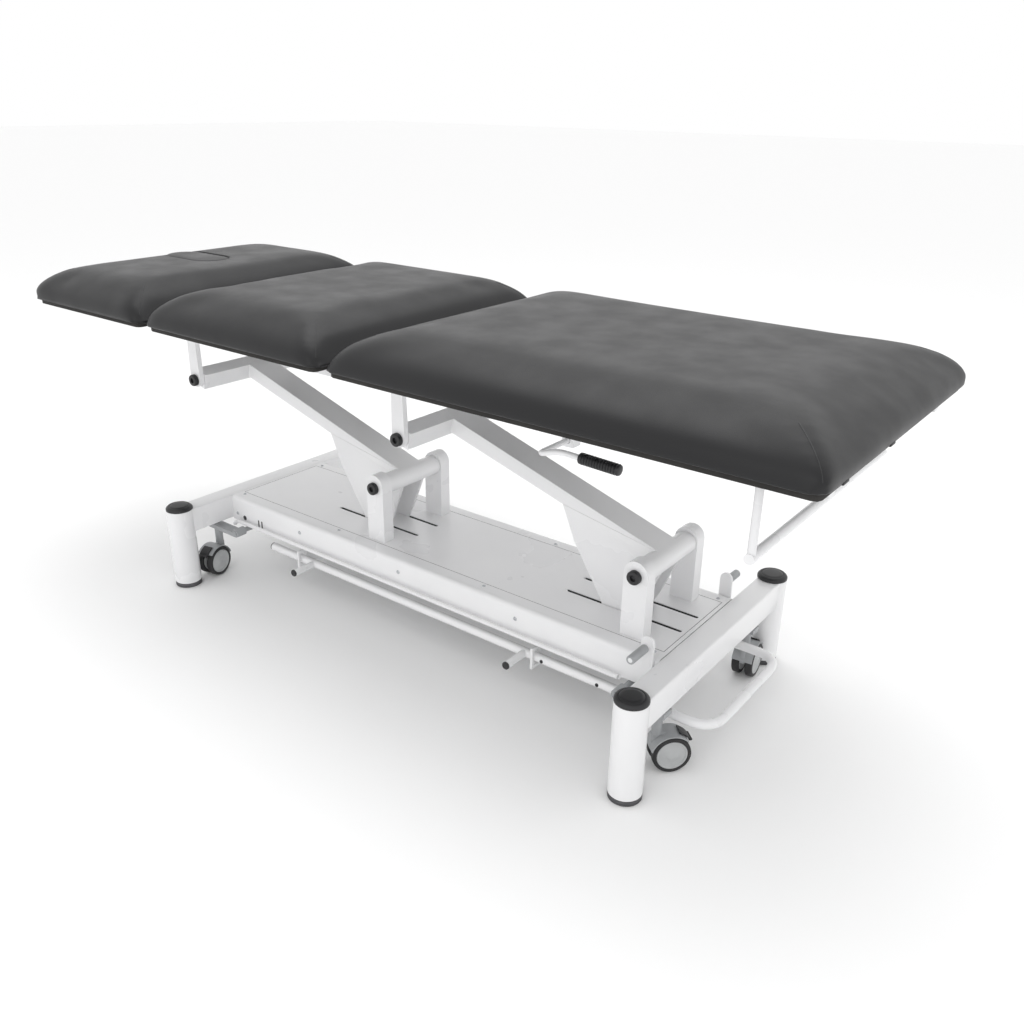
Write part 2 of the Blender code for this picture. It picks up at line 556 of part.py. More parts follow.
def build_sections(upper):
    back = joint("axis_backrest", (BACK_AXIS_X, 0, SECTION_AXIS_Z), upper)
    frame = section_frame(HEAD_AXIS_X, BACK_AXIS_X, 0.237, (-0.48, BACK_AXIS_X - 0.045),
                          bored=(HEAD_AXIS_X, BACK_AXIS_X))
    part("backrest_frame", weld(frame, *crank(CRANK_Y - 0.014, CRANK_Y - 0.006)), WHITE, back)
    part("backrest_board", board(HEAD_AXIS_X, BACK_AXIS_X), BOARD, back)
    part("backrest_cushion", pad(HEAD_AXIS_X, BACK_AXIS_X), VINYL, back)
    head = joint("axis_headrest", (HEAD_AXIS_X, 0, SECTION_AXIS_Z), back)
    head_end = -PAD_LENGTH / 2
    part("headrest_frame", section_frame(-0.955, HEAD_AXIS_X, 0.262, (-0.935, -0.664),
                                         pinned=(HEAD_AXIS_X,)), WHITE, head)
    part("headrest_board", drill(board(head_end, HEAD_AXIS_X), face_hole(0.0, 0.6, 0.7)), BOARD, head)
    part("headrest_cushion", drill(pad(head_end, HEAD_AXIS_X), face_hole(0.0, 0.6, 0.8)), VINYL, head)
    plug_axis = joint("axis_plug", (HOLE_X, 0, PAD_BOTTOM), head)
    part("breathing_hole_plug", face_hole(0.0012, BOARD_BOTTOM, PAD_TOP - 0.003), VINYL, plug_axis)


# ---------------------------------------------------------------- foot bar
def build_foot_bar():
    bend = 0.05
    nose = [(BAR_NOSE_X - bend + x, y) for x, y in arc((0, -BAR_Y + bend), bend, -90, 0, 6)]
    near = [(x, y, BAR_Z) for x, y in nose]
    far = [(x, -y, BAR_Z) for x, y in reversed(nose)]
    loop = [(BAR_END_X, -BAR_Y, BAR_Z), *near, *far, (BAR_END_X, BAR_Y, BAR_Z)]
    pegs = [rod((x, side * BAR_Y, BAR_Z), (x, side * PEG_REACH, BAR_Z), 0.008, sides=12)
            for x in PEG_X for side in (-1, 1)]
    part("foot_bar", weld(tube(loop, BAR_R), *pegs), WHITE)


# ---------------------------------------------------------------- wheel lift and casters
def pedal(side):
    low, high = span_y(side, COVER_HALF + 0.0015, COVER_HALF + 0.0065)
    side_plate = plate(capsule((PEDAL_X, SHAFT_Z), (PEDAL_X, 0.2335), 0.013), low, high)
    pin = rod((PEDAL_X - 0.003, side * (COVER_HALF + 0.003), 0.222),
              (PEDAL_X - 0.003, side * (COVER_HALF + 0.060), 0.222), 0.007)
    return [side_plate, pin]


def carrier(x, leg_x):
    """A cross shaft with two arms that hold the casters' pins."""
    shaft = rod((x, -CASTER_Y - 0.016, SHAFT_Z), (x, CASTER_Y + 0.016, SHAFT_Z), SHAFT_R)
    arms, holes = [], []
    low_x, high_x = sorted((x, leg_x + 0.019 * (1 if leg_x > x else -1)))
    for side in (-1, 1):
        low, high = span_y(side, CASTER_Y - 0.014, CASTER_Y + 0.014)
        arms.append(block((low_x, low, 0.1175), (high_x, high, 0.128)))
        arms.append(rod((x, low + 0.001, SHAFT_Z), (x, high - 0.001, SHAFT_Z), 0.0108))
        holes.append(rod((leg_x, side * CASTER_Y, 0.10), (leg_x, side * CASTER_Y, 0.14), 0.005 + PLAY))
    return drill(weld(shaft, *arms), *holes)


def caster(name, x, side, parent):
    """Swivel fork with its stem and hood, a twin wheel and a brake tab."""
    swivel = joint(f"axis_swivel_{name}", (x, side * CASTER_Y, WHEEL_Z), parent, CASTER_YAW[name])
    place = swivel.matrix_world

    def local(shape):
        shape.data.transform(place)
        return shape
    axle = (CASTER_TRAIL, 0)
    web = plate(arc(axle, 0.017, 180, 405, 8) + [(0.022, 0.034), (0.010, 0.045), (-0.010, 0.045)],
                -0.005, 0.005)
    hood = plate(arc(axle, 0.0405, 42, 165, 10) + arc(axle, 0.0378, 165, 42, 10), -0.022, 0.022)
    stem = rod((0, 0, 0.038), (0, 0, 0.0785), 0.0095)
    pin = rod((0, 0, 0.075), (0, 0, 0.0885), 0.005)
    hole = rod((CASTER_TRAIL, -0.01, 0), (CASTER_TRAIL, 0.01, 0), 0.0058)
    fork = weld(local(web), local(hood), local(stem), local(pin))
    part(f"caster_fork_{name}", bake(drill(fork, local(hole))), GREY, swivel)
    wheel_axis = joint(f"axis_wheel_{name}", place @ Vector((CASTER_TRAIL, 0, 0)), swivel)
    discs = [rod((CASTER_TRAIL, s * 0.006, 0), (CASTER_TRAIL, s * 0.0225, 0), WHEEL_R, sides=24)
             for s in (-1, 1)]
    shaft = rod((CASTER_TRAIL, -0.01, 0), (CASTER_TRAIL, 0.01, 0), 0.005)
    part(f"caster_wheel_{name}", weld(local(shaft), *map(local, discs)), GREY, wheel_axis)
    tab_axis = joint(f"axis_brake_{name}", place @ Vector((0.050, 0, 0.030)), swivel)
    tab = block((0.0585, -0.012, 0.024), (0.0630, 0.012, 0.030))
    part(f"caster_brake_{name}", bake(local(tab)), BLACK, tab_axis)


def build_wheels():
    pedals = [shape for side in (-1, 1) for shape in pedal(side)]
    shaft = rod((PEDAL_X, -COVER_HALF - 0.004, SHAFT_Z), (PEDAL_X, COVER_HALF + 0.004, SHAFT_Z), SHAFT_R)
    lever_axis = joint("axis_pedals", (PEDAL_X, 0, SHAFT_Z))
    part("wheel_lift_pedals", weld(shaft, *pedals), WHITE, lever_axis)
    link_y, link_z = -0.164, 0.1425
    link = [(-0.532, link_y, 0.130), (-0.527, link_y, 0.138), (-0.517, link_y, link_z),
            (0.588, link_y, link_z)]
    part("wheel_lift_link", tube(link, 0.005), WHITE)
    for end, x, leg_x in zip(ENDS, CARRIER_X, LEG_X):
        axis = joint(f"axis_carrier_{end}", (x, 0, SHAFT_Z))
        part(f"caster_carrier_{end}", carrier(x, leg_x), GREY, axis)
        for side, hand in HANDS:
            caster(f"{end}_{hand}", leg_x, side, axis)


build_base()
build_upper(build_lift())
build_foot_bar()
build_wheels()
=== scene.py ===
# %% [markdown]
# # A height-adjustable examination couch
#
# The couch has three upholstered sections on a white steel lift: two parallel arms raise an
# upper frame above a low base with retractable castors. The structure comes from a finished
# CAD frame, and this lesson gives every visible piece its surface: soft cushions, rolled
# steel edges, turned wheels and the small black fittings.

# %% Load the frame
import json
from math import cos, pi, radians, sin

import bmesh
import bpy
from mathutils import Matrix, Vector
from mathutils.bvhtree import BVHTree


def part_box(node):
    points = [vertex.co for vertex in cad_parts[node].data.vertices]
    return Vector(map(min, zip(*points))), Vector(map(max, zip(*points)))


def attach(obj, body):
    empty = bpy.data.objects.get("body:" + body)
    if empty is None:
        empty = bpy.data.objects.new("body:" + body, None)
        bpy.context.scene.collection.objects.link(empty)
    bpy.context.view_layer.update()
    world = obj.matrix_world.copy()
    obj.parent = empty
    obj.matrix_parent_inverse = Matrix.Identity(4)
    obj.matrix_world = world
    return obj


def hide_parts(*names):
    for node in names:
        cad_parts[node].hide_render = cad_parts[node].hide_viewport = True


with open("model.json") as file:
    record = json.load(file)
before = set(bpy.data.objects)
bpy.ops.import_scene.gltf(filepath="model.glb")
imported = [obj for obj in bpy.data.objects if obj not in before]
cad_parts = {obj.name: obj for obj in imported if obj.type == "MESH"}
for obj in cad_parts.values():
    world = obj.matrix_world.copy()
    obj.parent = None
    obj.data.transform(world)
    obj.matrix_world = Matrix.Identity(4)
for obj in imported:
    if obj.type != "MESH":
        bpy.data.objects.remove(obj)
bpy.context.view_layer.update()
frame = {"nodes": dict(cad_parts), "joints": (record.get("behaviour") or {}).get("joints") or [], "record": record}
body_of_node = {node: body for body, nodes in frame["record"]["behaviour"]["bodies"].items()
                for node in nodes}
slot_of_node = {row["node"]: row["material_slot"] for row in frame["record"]["subparts"]}
print("loaded", len(body_of_node), "nodes")

# %% [markdown]
# ## Helpers for pieces
#
# Every new piece is a mesh at the origin that rides on one CAD body and may stand for a CAD
# node. One function does that bookkeeping, so the modelling cells stay short. Round pieces
# are shaded smooth up to an angle, which keeps their rims crisp.


# %% Turn a bmesh into a finished piece
def finish_piece(name, bm, body, coat, stands_for=(), angle=35.0):
    mesh = bpy.data.meshes.new(name)
    bm.to_mesh(mesh)
    bm.free()
    mesh.shade_smooth()
    mesh.set_sharp_from_angle(angle=radians(angle))
    piece = bpy.data.objects.new(name, mesh)
    bpy.context.scene.collection.objects.link(piece)
    mesh.materials.append(coat)
    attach(piece, body)
    if stands_for:
        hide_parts(*stands_for)
    return piece


# %% [markdown]
# A turned piece, such as a cap or a wheel, is drawn as half a section and spun about its
# axis. The section is a list of (radius, height) pairs, so it reads like a lathe drawing.


# %% Spin a section about an axis
def turned(section, place, steps=48):
    bm = bmesh.new()
    ring = [bm.verts.new((radius, 0.0, height)) for radius, height in section]
    edges = [bm.edges.new(pair) for pair in zip(ring, ring[1:])]
    bmesh.ops.spin(bm, geom=ring + edges, cent=(0, 0, 0), axis=(0, 0, 1), angle=2 * pi,
                   steps=steps, use_merge=True)
    bmesh.ops.remove_doubles(bm, verts=bm.verts, dist=1e-6)
    bmesh.ops.recalc_face_normals(bm, faces=bm.faces)
    bmesh.ops.transform(bm, matrix=place, verts=bm.verts)
    return bm


def upright(x, y, z):
    return Matrix.Translation((x, y, z))


def facing_y(x, y, z, side):
    """A place whose turning axis points along Y, towards side."""
    return Matrix.Translation((x, y, z)) @ Matrix.Rotation(-side * pi / 2, 4, "X")


def rounded_block(low, high, radius, segments=3):
    bm = bmesh.new()
    bmesh.ops.create_cube(bm, size=1.0)
    bmesh.ops.scale(bm, vec=[b - a for a, b in zip(low, high)], verts=bm.verts)
    bmesh.ops.translate(bm, vec=[(a + b) / 2 for a, b in zip(low, high)], verts=bm.verts)
    bmesh.ops.bevel(bm, geom=bm.edges[:], offset=radius, segments=segments, profile=0.5,
                    affect="EDGES", material=-1)
    return bm


def add_to(bm, other):
    """Adds another shape to a bmesh."""
    keep = bpy.data.meshes.new("keep")
    other.to_mesh(keep)
    other.free()
    bm.from_mesh(keep)
    bpy.data.meshes.remove(keep)
    return bm


# %% [markdown]
# A bent tube is a curve with a round bevel. Its corners are rounded here by replacing each
# corner point by a few points on a quadratic arc, the way a tube bender leaves a bend. The
# curve is then made a mesh, so its caps can be closed and its surface shaded smooth.


# %% Bent tubes
def rounded_path(corners, bend):
    path = [Vector(corners[0])]
    for before, corner, after in zip(corners, corners[1:], corners[2:]):
        before, corner, after = Vector(before), Vector(corner), Vector(after)
        start = corner + (before - corner).normalized() * bend
        end = corner + (after - corner).normalized() * bend
        for i in range(9):
            t = i / 8
            path.append((1 - t) ** 2 * start + 2 * t * (1 - t) * corner + t ** 2 * end)
    path.append(Vector(corners[-1]))
    return path


def tube(corners, radius, bend=0.02):
    curve = bpy.data.curves.new("tube", "CURVE")
    curve.dimensions = "3D"
    curve.bevel_depth = radius
    curve.bevel_resolution = 6
    curve.use_fill_caps = True
    path = rounded_path(corners, bend)
    spline = curve.splines.new("POLY")
    spline.points.add(len(path) - 1)
    for point, place in zip(spline.points, path):
        point.co = (*place, 1.0)
    holder = bpy.data.objects.new("tube", curve)
    bpy.context.scene.collection.objects.link(holder)
    evaluated = holder.evaluated_get(bpy.context.evaluated_depsgraph_get())
    mesh = bpy.data.meshes.new_from_object(evaluated)
    bm = bmesh.new()
    bm.from_mesh(mesh)
    bmesh.ops.remove_doubles(bm, verts=bm.verts, dist=1e-5)
    bmesh.ops.recalc_face_normals(bm, faces=bm.faces)
    bpy.data.objects.remove(holder, do_unlink=True)
    bpy.data.meshes.remove(mesh)
    return bm


# %% [markdown]
# ## Camera, floor and light
#
# The couch is seen from the foot end and slightly above, as one sees it on entering a room.
# The floor and the surroundings are one pale studio, lit by large soft lamps, so that the
# white steel reads by gentle shading and the black upholstery by broad reflections.

# %% Camera
CAMERA_PLACE = (1.3288, -1.4696, 1.1249)
CAMERA_AZIMUTH, CAMERA_ELEVATION, CAMERA_ROLL, LENS_MM = 37.225, 23.715, 0.872, 33.45
camera_data = bpy.data.cameras.new("camera")
camera_data.lens = LENS_MM
camera_data.sensor_width = 36.0
camera = bpy.data.objects.new("camera", camera_data)
turn = (Matrix.Rotation(radians(CAMERA_AZIMUTH), 4, "Z")
        @ Matrix.Rotation(radians(90 - CAMERA_ELEVATION), 4, "X")
        @ Matrix.Rotation(radians(CAMERA_ROLL), 4, "Z"))
camera.matrix_world = Matrix.Translation(CAMERA_PLACE) @ turn
bpy.context.scene.collection.objects.link(camera)
bpy.context.scene.camera = camera

# %% Floor, sky and lamps
floor_bm = bmesh.new()
bmesh.ops.create_grid(floor_bm, x_segments=1, y_segments=1, size=30.0)
floor_mesh = bpy.data.meshes.new("floor")
floor_bm.to_mesh(floor_mesh)
floor_bm.free()
floor = bpy.data.objects.new("floor", floor_mesh)
bpy.context.scene.collection.objects.link(floor)
floor_look = bpy.data.materials.new("floor_pale")
floor_look.use_nodes = True
floor_shader = floor_look.node_tree.nodes["Principled BSDF"]
floor_shader.inputs["Base Color"].default_value = (0.97, 0.97, 0.97, 1.0)
floor_shader.inputs["Roughness"].default_value = 0.9
floor_shader.inputs["Specular IOR Level"].default_value = 0.1
floor_mesh.materials.append(floor_look)

world = bpy.data.worlds.new("studio")
world.use_nodes = True
world.node_tree.nodes["Background"].inputs["Color"].default_value = (1.0, 1.0, 1.0, 1.0)
world.node_tree.nodes["Background"].inputs["Strength"].default_value = 1.0
bpy.context.scene.world = world
bpy.context.scene.view_settings.view_transform = "Standard"


def lamp(name, place, size, power, target=(0, 0, 0.4)):
    data = bpy.data.lights.new(name, "AREA")
    data.shape = "RECTANGLE"
    data.size, data.size_y = size
    data.energy = power
    light = bpy.data.objects.new(name, data)
    light.location = place
    light.rotation_euler = (Vector(target) - Vector(place)).to_track_quat("-Z", "Y").to_euler()
    bpy.context.scene.collection.objects.link(light)


lamp("top_lamp", (-0.3, 0.6, 3.4), (3.0, 2.2), 34.0)
lamp("near_lamp", (0.9, -3.2, 2.0), (2.2, 1.6), 9.0)
print("camera and studio ready")

# %% [markdown]
# ## Finishes
#
# Each finish is a small node network on Object coordinates, so it stays put when the piece
# moves. Powder coat has a faint orange-peel; synthetic leather has a pebble grain pressed
# into it; rubber and moulded plastic are matt with a fine spark-eroded texture.


# %% Node helpers
def start_finish(name, roughness, metallic=0.0, **constants):
    coat = bpy.data.materials.new(name)
    coat.use_nodes = True
    nodes = coat.node_tree.nodes
    shader = nodes["Principled BSDF"]
    shader.inputs["Roughness"].default_value = roughness
    shader.inputs["Metallic"].default_value = metallic
    for socket, value in constants.items():
        shader.inputs[socket.replace("_", " ")].default_value = value
    place = nodes.new("ShaderNodeTexCoord")
    return coat, shader, place


def noise(coat, place, scale, detail=4.0):
    node = coat.node_tree.nodes.new("ShaderNodeTexNoise")
    node.inputs["Scale"].default_value = scale
    node.inputs["Detail"].default_value = detail
    coat.node_tree.links.new(place.outputs["Object"], node.inputs["Vector"])
    return node


def vary(coat, source, low, high, socket, low_at=0.35, high_at=0.65):
    """Maps a pattern's values onto a range of roughness or, for colours, between two colours."""
    if isinstance(low, tuple):
        ramp = coat.node_tree.nodes.new("ShaderNodeValToRGB")
        ramp.color_ramp.elements[0].position = low_at
        ramp.color_ramp.elements[0].color = (*low, 1.0)
        ramp.color_ramp.elements[1].position = high_at
        ramp.color_ramp.elements[1].color = (*high, 1.0)
        coat.node_tree.links.new(source, ramp.inputs["Fac"])
        coat.node_tree.links.new(ramp.outputs["Color"], socket)
        return
    span = coat.node_tree.nodes.new("ShaderNodeMapRange")
    span.inputs["From Min"].default_value = low_at
    span.inputs["From Max"].default_value = high_at
    span.inputs["To Min"].default_value = low
    span.inputs["To Max"].default_value = high
    coat.node_tree.links.new(source, span.inputs["Value"])
    coat.node_tree.links.new(span.outputs["Result"], socket)


def emboss(coat, shader, source, strength, distance):
    bump = coat.node_tree.nodes.new("ShaderNodeBump")
    bump.inputs["Strength"].default_value = strength
    bump.inputs["Distance"].default_value = distance
    coat.node_tree.links.new(source, bump.inputs["Height"])
    coat.node_tree.links.new(bump.outputs["Normal"], shader.inputs["Normal"])


# %% White powder coat
def powder_coat(name, light, dark, roughness):
    coat, shader, place = start_finish(name, roughness, Coat_Weight=0.35, Coat_Roughness=0.12)
    cloud = noise(coat, place, 5.0)
    vary(coat, cloud.outputs["Fac"], dark, light, shader.inputs["Base Color"])
    vary(coat, cloud.outputs["Fac"], roughness - 0.04, roughness + 0.05, shader.inputs["Roughness"])
    peel = noise(coat, place, 420.0, 2.0)
    emboss(coat, shader, peel.outputs["Fac"], 0.10, 0.0004)
    return coat


white_coat = powder_coat("white_powder_coat", (0.86, 0.86, 0.865), (0.83, 0.83, 0.84), 0.30)
black_coat = powder_coat("black_powder_coat", (0.022, 0.022, 0.024), (0.014, 0.014, 0.016), 0.35)


# %% Synthetic leather
def synthetic_leather():
    coat, shader, place = start_finish("black_synthetic_leather", 0.42, Sheen_Weight=0.03,
                                       Sheen_Roughness=0.5, Specular_IOR_Level=0.36)
    cloud = noise(coat, place, 3.5)
    vary(coat, cloud.outputs["Fac"], (0.0085, 0.0085, 0.0095), (0.0105, 0.0105, 0.0115),
         shader.inputs["Base Color"])
    rub = noise(coat, place, 14.0)
    vary(coat, rub.outputs["Fac"], 0.38, 0.47, shader.inputs["Roughness"])
    grain = coat.node_tree.nodes.new("ShaderNodeTexVoronoi")
    grain.feature = "DISTANCE_TO_EDGE"
    grain.inputs["Scale"].default_value = 520.0
    coat.node_tree.links.new(place.outputs["Object"], grain.inputs["Vector"])
    emboss(coat, shader, grain.outputs["Distance"], 0.30, 0.0005)
    return coat


leather = synthetic_leather()


# %% Plastics, rubber, lining and bare steel
def moulded(name, light, dark, roughness, scale=900.0, strength=0.12):
    coat, shader, place = start_finish(name, roughness)
    cloud = noise(coat, place, 22.0)
    vary(coat, cloud.outputs["Fac"], dark, light, shader.inputs["Base Color"])
    vary(coat, cloud.outputs["Fac"], roughness - 0.05, roughness + 0.06, shader.inputs["Roughness"])
    spark = noise(coat, place, scale, 2.0)
    emboss(coat, shader, spark.outputs["Fac"], strength, 0.0003)
    return coat


black_plastic = moulded("black_moulded_plastic", (0.020, 0.020, 0.022), (0.012, 0.012, 0.013), 0.42)
grey_plastic = moulded("grey_moulded_plastic", (0.40, 0.41, 0.42), (0.34, 0.35, 0.36), 0.45)
hub_plastic = moulded("pale_hub_plastic", (0.50, 0.51, 0.51), (0.44, 0.45, 0.455), 0.38)
tread_rubber = moulded("black_tread_rubber", (0.030, 0.030, 0.031), (0.018, 0.018, 0.019), 0.62)
foot_rubber = moulded("grey_foot_rubber", (0.11, 0.11, 0.115), (0.07, 0.07, 0.075), 0.70)
lining = moulded("black_board_lining", (0.035, 0.033, 0.031), (0.018, 0.017, 0.016), 0.85, 1400.0, 0.5)


def drawn_steel():
    """Bright bar stock, with fine lines along its length."""
    coat, shader, place = start_finish("drawn_steel", 0.26, metallic=1.0)
    stretch = coat.node_tree.nodes.new("ShaderNodeMapping")
    stretch.inputs["Scale"].default_value = (6.0, 400.0, 400.0)
    coat.node_tree.links.new(place.outputs["Object"], stretch.inputs["Vector"])
    lines = coat.node_tree.nodes.new("ShaderNodeTexNoise")
    lines.inputs["Scale"].default_value = 3.0
    coat.node_tree.links.new(stretch.outputs["Vector"], lines.inputs["Vector"])
    vary(coat, lines.outputs["Fac"], (0.50, 0.51, 0.53), (0.62, 0.63, 0.65),
         shader.inputs["Base Color"])
    vary(coat, lines.outputs["Fac"], 0.22, 0.34, shader.inputs["Roughness"])
    return coat


steel = drawn_steel()
shadow_gap = moulded("dark_joint_line", (0.20, 0.20, 0.205), (0.15, 0.15, 0.155), 0.8)
coat_of_slot = {"white_paint": white_coat, "black_vinyl": leather, "dark_board": lining,
                "black_plastic": black_plastic, "dark_rubber": foot_rubber,
                "grey_plastic": grey_plastic, "wheel_grey": hub_plastic, "bright_steel": steel,
                "black_paint": black_coat}
print("made", len(coat_of_slot) + 2, "finishes")

# %% [markdown]
# ## Steel and plastic carried over from the frame
#
# Most steel pieces already have the right shape, but their edges are knife sharp. Rolled and
# welded section has small rounded corners that catch the light. A copy of each piece has its
# loose triangles merged, its flat faces cleaned and its corners rounded by a Bevel modifier.


# %% Round the corners of a copy
def eased_copy(node, width, name=None):
    bm = bmesh.new()
    bm.from_mesh(frame["nodes"][node].data)
    bmesh.ops.remove_doubles(bm, verts=bm.verts, dist=2e-6)
    bmesh.ops.dissolve_limit(bm, angle_limit=radians(1.0), verts=bm.verts, edges=bm.edges)
    slot = slot_of_node[node]
    piece = finish_piece(name or node + "_eased", bm, body_of_node[node], coat_of_slot[slot],
                         [node])
    if width:
        bevel = piece.modifiers.new("eased_edges", "BEVEL")
        bevel.width = width
        bevel.segments = 2
        bevel.limit_method = "ANGLE"
        bevel.angle_limit = radians(50)
        bevel.harden_normals = True
    return piece


EASED = {"base_rail_left": 0.002, "base_rail_right": 0.002, "lift_arm_foot": 0.0015,
         "lift_arm_head": 0.0015, "upper_frame": 0.0012, "seat_frame": 0.0015,
         "backrest_frame": 0.0015, "headrest_frame": 0.0015, "seat_board": 0.001,
         "backrest_board": 0.001, "headrest_board": 0.001, "actuator_rod": 0.0008,
         "lever_link_bar": 0.0008, "caster_carrier_head": 0.0010, "caster_carrier_foot": 0.0010,
         "release_bracket": 0.0010, "gas_strut_rod": 0.0005, "mains_inlet": 0.0006,
         "wheel_lift_pedals": 0.0009}
for node, width in EASED.items():
    eased_copy(node, width)
print("eased", len(EASED), "pieces")

# %% [markdown]
# ## Base
#
# Each end frame is a rectangular crossbeam welded between two round legs. The legs are the
# pieces nearest the eye, so they are turned with many steps, with a small seam where the
# black cap and the rubber foot meet the tube.

# %% End frames, caps and rubber feet
BEAM_HALF, BEAM_TOP, BEAM_DROP = 0.025, 0.1995, 0.0598

for end in ("head", "foot"):
    low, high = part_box(f"end_frame_{end}")
    centre_x, leg_radius = (low.x + high.x) / 2, (high.x - low.x) / 2
    leg_y = high.y - leg_radius
    beam_low = high.z - BEAM_DROP
    beam = rounded_block((centre_x - BEAM_HALF, -leg_y, beam_low),
                         (centre_x + BEAM_HALF, leg_y, BEAM_TOP), 0.004)
    for side, hand in ((-1, "left"), (1, "right")):
        place = upright(centre_x, side * leg_y, 0)
        leg = [(0.0, low.z), (leg_radius - 0.001, low.z), (leg_radius, low.z + 0.001),
               (leg_radius, high.z - 0.001), (leg_radius - 0.001, high.z), (0.0, high.z)]
        beam = add_to(beam, turned(leg, place, 64))
        cap_low, cap_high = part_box(f"leg_cap_{end}_{hand}")
        rim, base, top = leg_radius, cap_low.z, cap_high.z
        cap = [(0.0, base), (rim, base), (rim + 0.0002, base + 0.0012), (rim, base + 0.0042),
               (rim - 0.0012, base + 0.0062), (rim - 0.0045, top - 0.0012), (rim - 0.0075, top - 0.0008),
               (rim - 0.0085, top - 0.0018), (rim - 0.0095, top - 0.0006), (rim * 0.5, top), (0.0, top)]
        finish_piece(f"domed_cap_{end}_{hand}", turned(cap, place, 64), "base", black_plastic,
                     [f"leg_cap_{end}_{hand}"], 50)
        foot = [(0.0, 0.0), (rim - 0.002, 0.0), (rim - 0.0003, 0.0015), (rim, 0.004),
                (rim - 0.0012, 0.0045), (rim - 0.0012, 0.0052), (rim, 0.0057), (rim, 0.0105),
                (rim - 0.001, 0.011), (0.0, 0.011)]
        finish_piece(f"rubber_foot_{end}_{hand}", turned(foot, place, 64), "base", foot_rubber,
                     [f"leg_foot_{end}_{hand}"], 50)
    finish_piece(f"end_frame_{end}_welded", beam, "base", white_coat,
                 [f"end_frame_{end}"])

# %% [markdown]
# The cover is one folded steel sheet: an inverted channel with broad bends along its two long
# edges, slots for the levers and openings for the posts. A box gets those two bends by a bevel
# on its long top edges, loses its underside and ends, and becomes sheet by solidify. The
# slots are cut with a Boolean modifier, worked out at once so that no cutter stays behind.


# %% Folded base cover
def cut_out(piece_bm, boxes):
    mesh = bpy.data.meshes.new("work")
    piece_bm.to_mesh(mesh)
    piece_bm.free()
    work = bpy.data.objects.new("work", mesh)
    bpy.context.scene.collection.objects.link(work)
    tool_bm = bmesh.new()
    for low, high in boxes:
        add_to(tool_bm, rounded_block(low, high, min(h - l for l, h in zip(low, high)) * 0.45, 3))
    tool_mesh = bpy.data.meshes.new("tool")
    tool_bm.to_mesh(tool_mesh)
    tool_bm.free()
    tool = bpy.data.objects.new("tool", tool_mesh)
    bpy.context.scene.collection.objects.link(tool)
    cut = work.modifiers.new("cut", "BOOLEAN")
    cut.operation = "DIFFERENCE"
    cut.object = tool
    bpy.context.view_layer.update()
    done = bmesh.new()
    done.from_mesh(bpy.data.meshes.new_from_object(
        work.evaluated_get(bpy.context.evaluated_depsgraph_get())))
    bpy.data.objects.remove(work, do_unlink=True)
    bpy.data.objects.remove(tool, do_unlink=True)
    return done


cover_low, cover_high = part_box("base_cover")
BEND = 0.011
cover = bmesh.new()
bmesh.ops.create_cube(cover, size=1.0)
bmesh.ops.scale(cover, vec=cover_high - cover_low, verts=cover.verts)
bmesh.ops.translate(cover, vec=(cover_low + cover_high) / 2, verts=cover.verts)
ridges = [e for e in cover.edges if all(v.co.z > 0.19 for v in e.verts)
          and abs(e.verts[0].co.x - e.verts[1].co.x) > 0.5]
bmesh.ops.bevel(cover, geom=ridges, offset=BEND, segments=6, profile=0.5, affect="EDGES", material=-1)
bmesh.ops.delete(cover, geom=[f for f in cover.faces if abs(f.normal.x) > 0.9 or f.normal.z < -0.9],
                 context="FACES")
bmesh.ops.solidify(cover, geom=cover.faces[:], thickness=0.0018)
bmesh.ops.recalc_face_normals(cover, faces=cover.faces)
SLOT_SPANS = ((-0.286, -0.03), (0.38, 0.645))
openings = [((x0, y - 0.0045, 0.185), (x1, y + 0.0045, 0.215)) for x0, x1 in SLOT_SPANS
            for y in (-0.0335, 0.0335)]
openings += [((x - 0.0258, y - 0.0158, 0.185), (x + 0.0258, y + 0.0158, 0.215))
             for x in (-0.085, 0.58) for y in (-0.096, 0.096)]
openings += [((x0, side * 0.153 - 0.01, 0.10), (x1, side * 0.153 + 0.01, 0.137)) for side in (-1, 1)
             for x0, x1 in ((-0.56, -0.474), (0.585, 0.67))]
finish_piece("folded_base_cover", cut_out(cover, openings), "base", white_coat,
             ["base_cover"])
print("cover", [round(v, 3) for v in cover_high - cover_low])

# %% Dark strips in the lever slots: painted shade, black sheets under the slot edges that darken the slots
slot_shade_strips = bmesh.new()
for x0, x1 in SLOT_SPANS:
    for side in (-1, 1):
        for y in (side * 0.0335 - 0.0052, side * 0.0335 + 0.0052):
            add_to(slot_shade_strips, rounded_block((x0, y - 0.0004, 0.1875), (x1, y + 0.0004, 0.1994), 0.0002, 1))
# These black strips paint the shade inside the lever slots; they are not a part of the couch.
finish_piece("lever_slot_painted_shade", slot_shade_strips, "base", black_plastic)

# %% [markdown]
# A lid is let into the cover's top. Its joint shows as a hair-thin darker line near the two
# long edges and across both ends. The lid is held by flat socket screws, and the near side has
# a row of small holes and pressed slots by the mains entry.

# %% Lid joints, screws and side marks
LID_HALF, LID_END, LINE_HALF, LINE_Z = 0.118, 0.008, 0.0006, (0.1990, 0.1997)
lines = bmesh.new()
for y in (-LID_HALF, LID_HALF):
    add_to(lines, rounded_block((cover_low.x + LID_END, y - LINE_HALF, LINE_Z[0]),
                                (cover_high.x - LID_END, y + LINE_HALF, LINE_Z[1]), 0.0002, 1))
for x in (cover_low.x + LID_END, cover_high.x - LID_END):
    add_to(lines, rounded_block((x - LINE_HALF, -LID_HALF, LINE_Z[0]),
                                (x + LINE_HALF, LID_HALF, LINE_Z[1]), 0.0002, 1))
finish_piece("lid_joint_lines", lines, "base", shadow_gap)


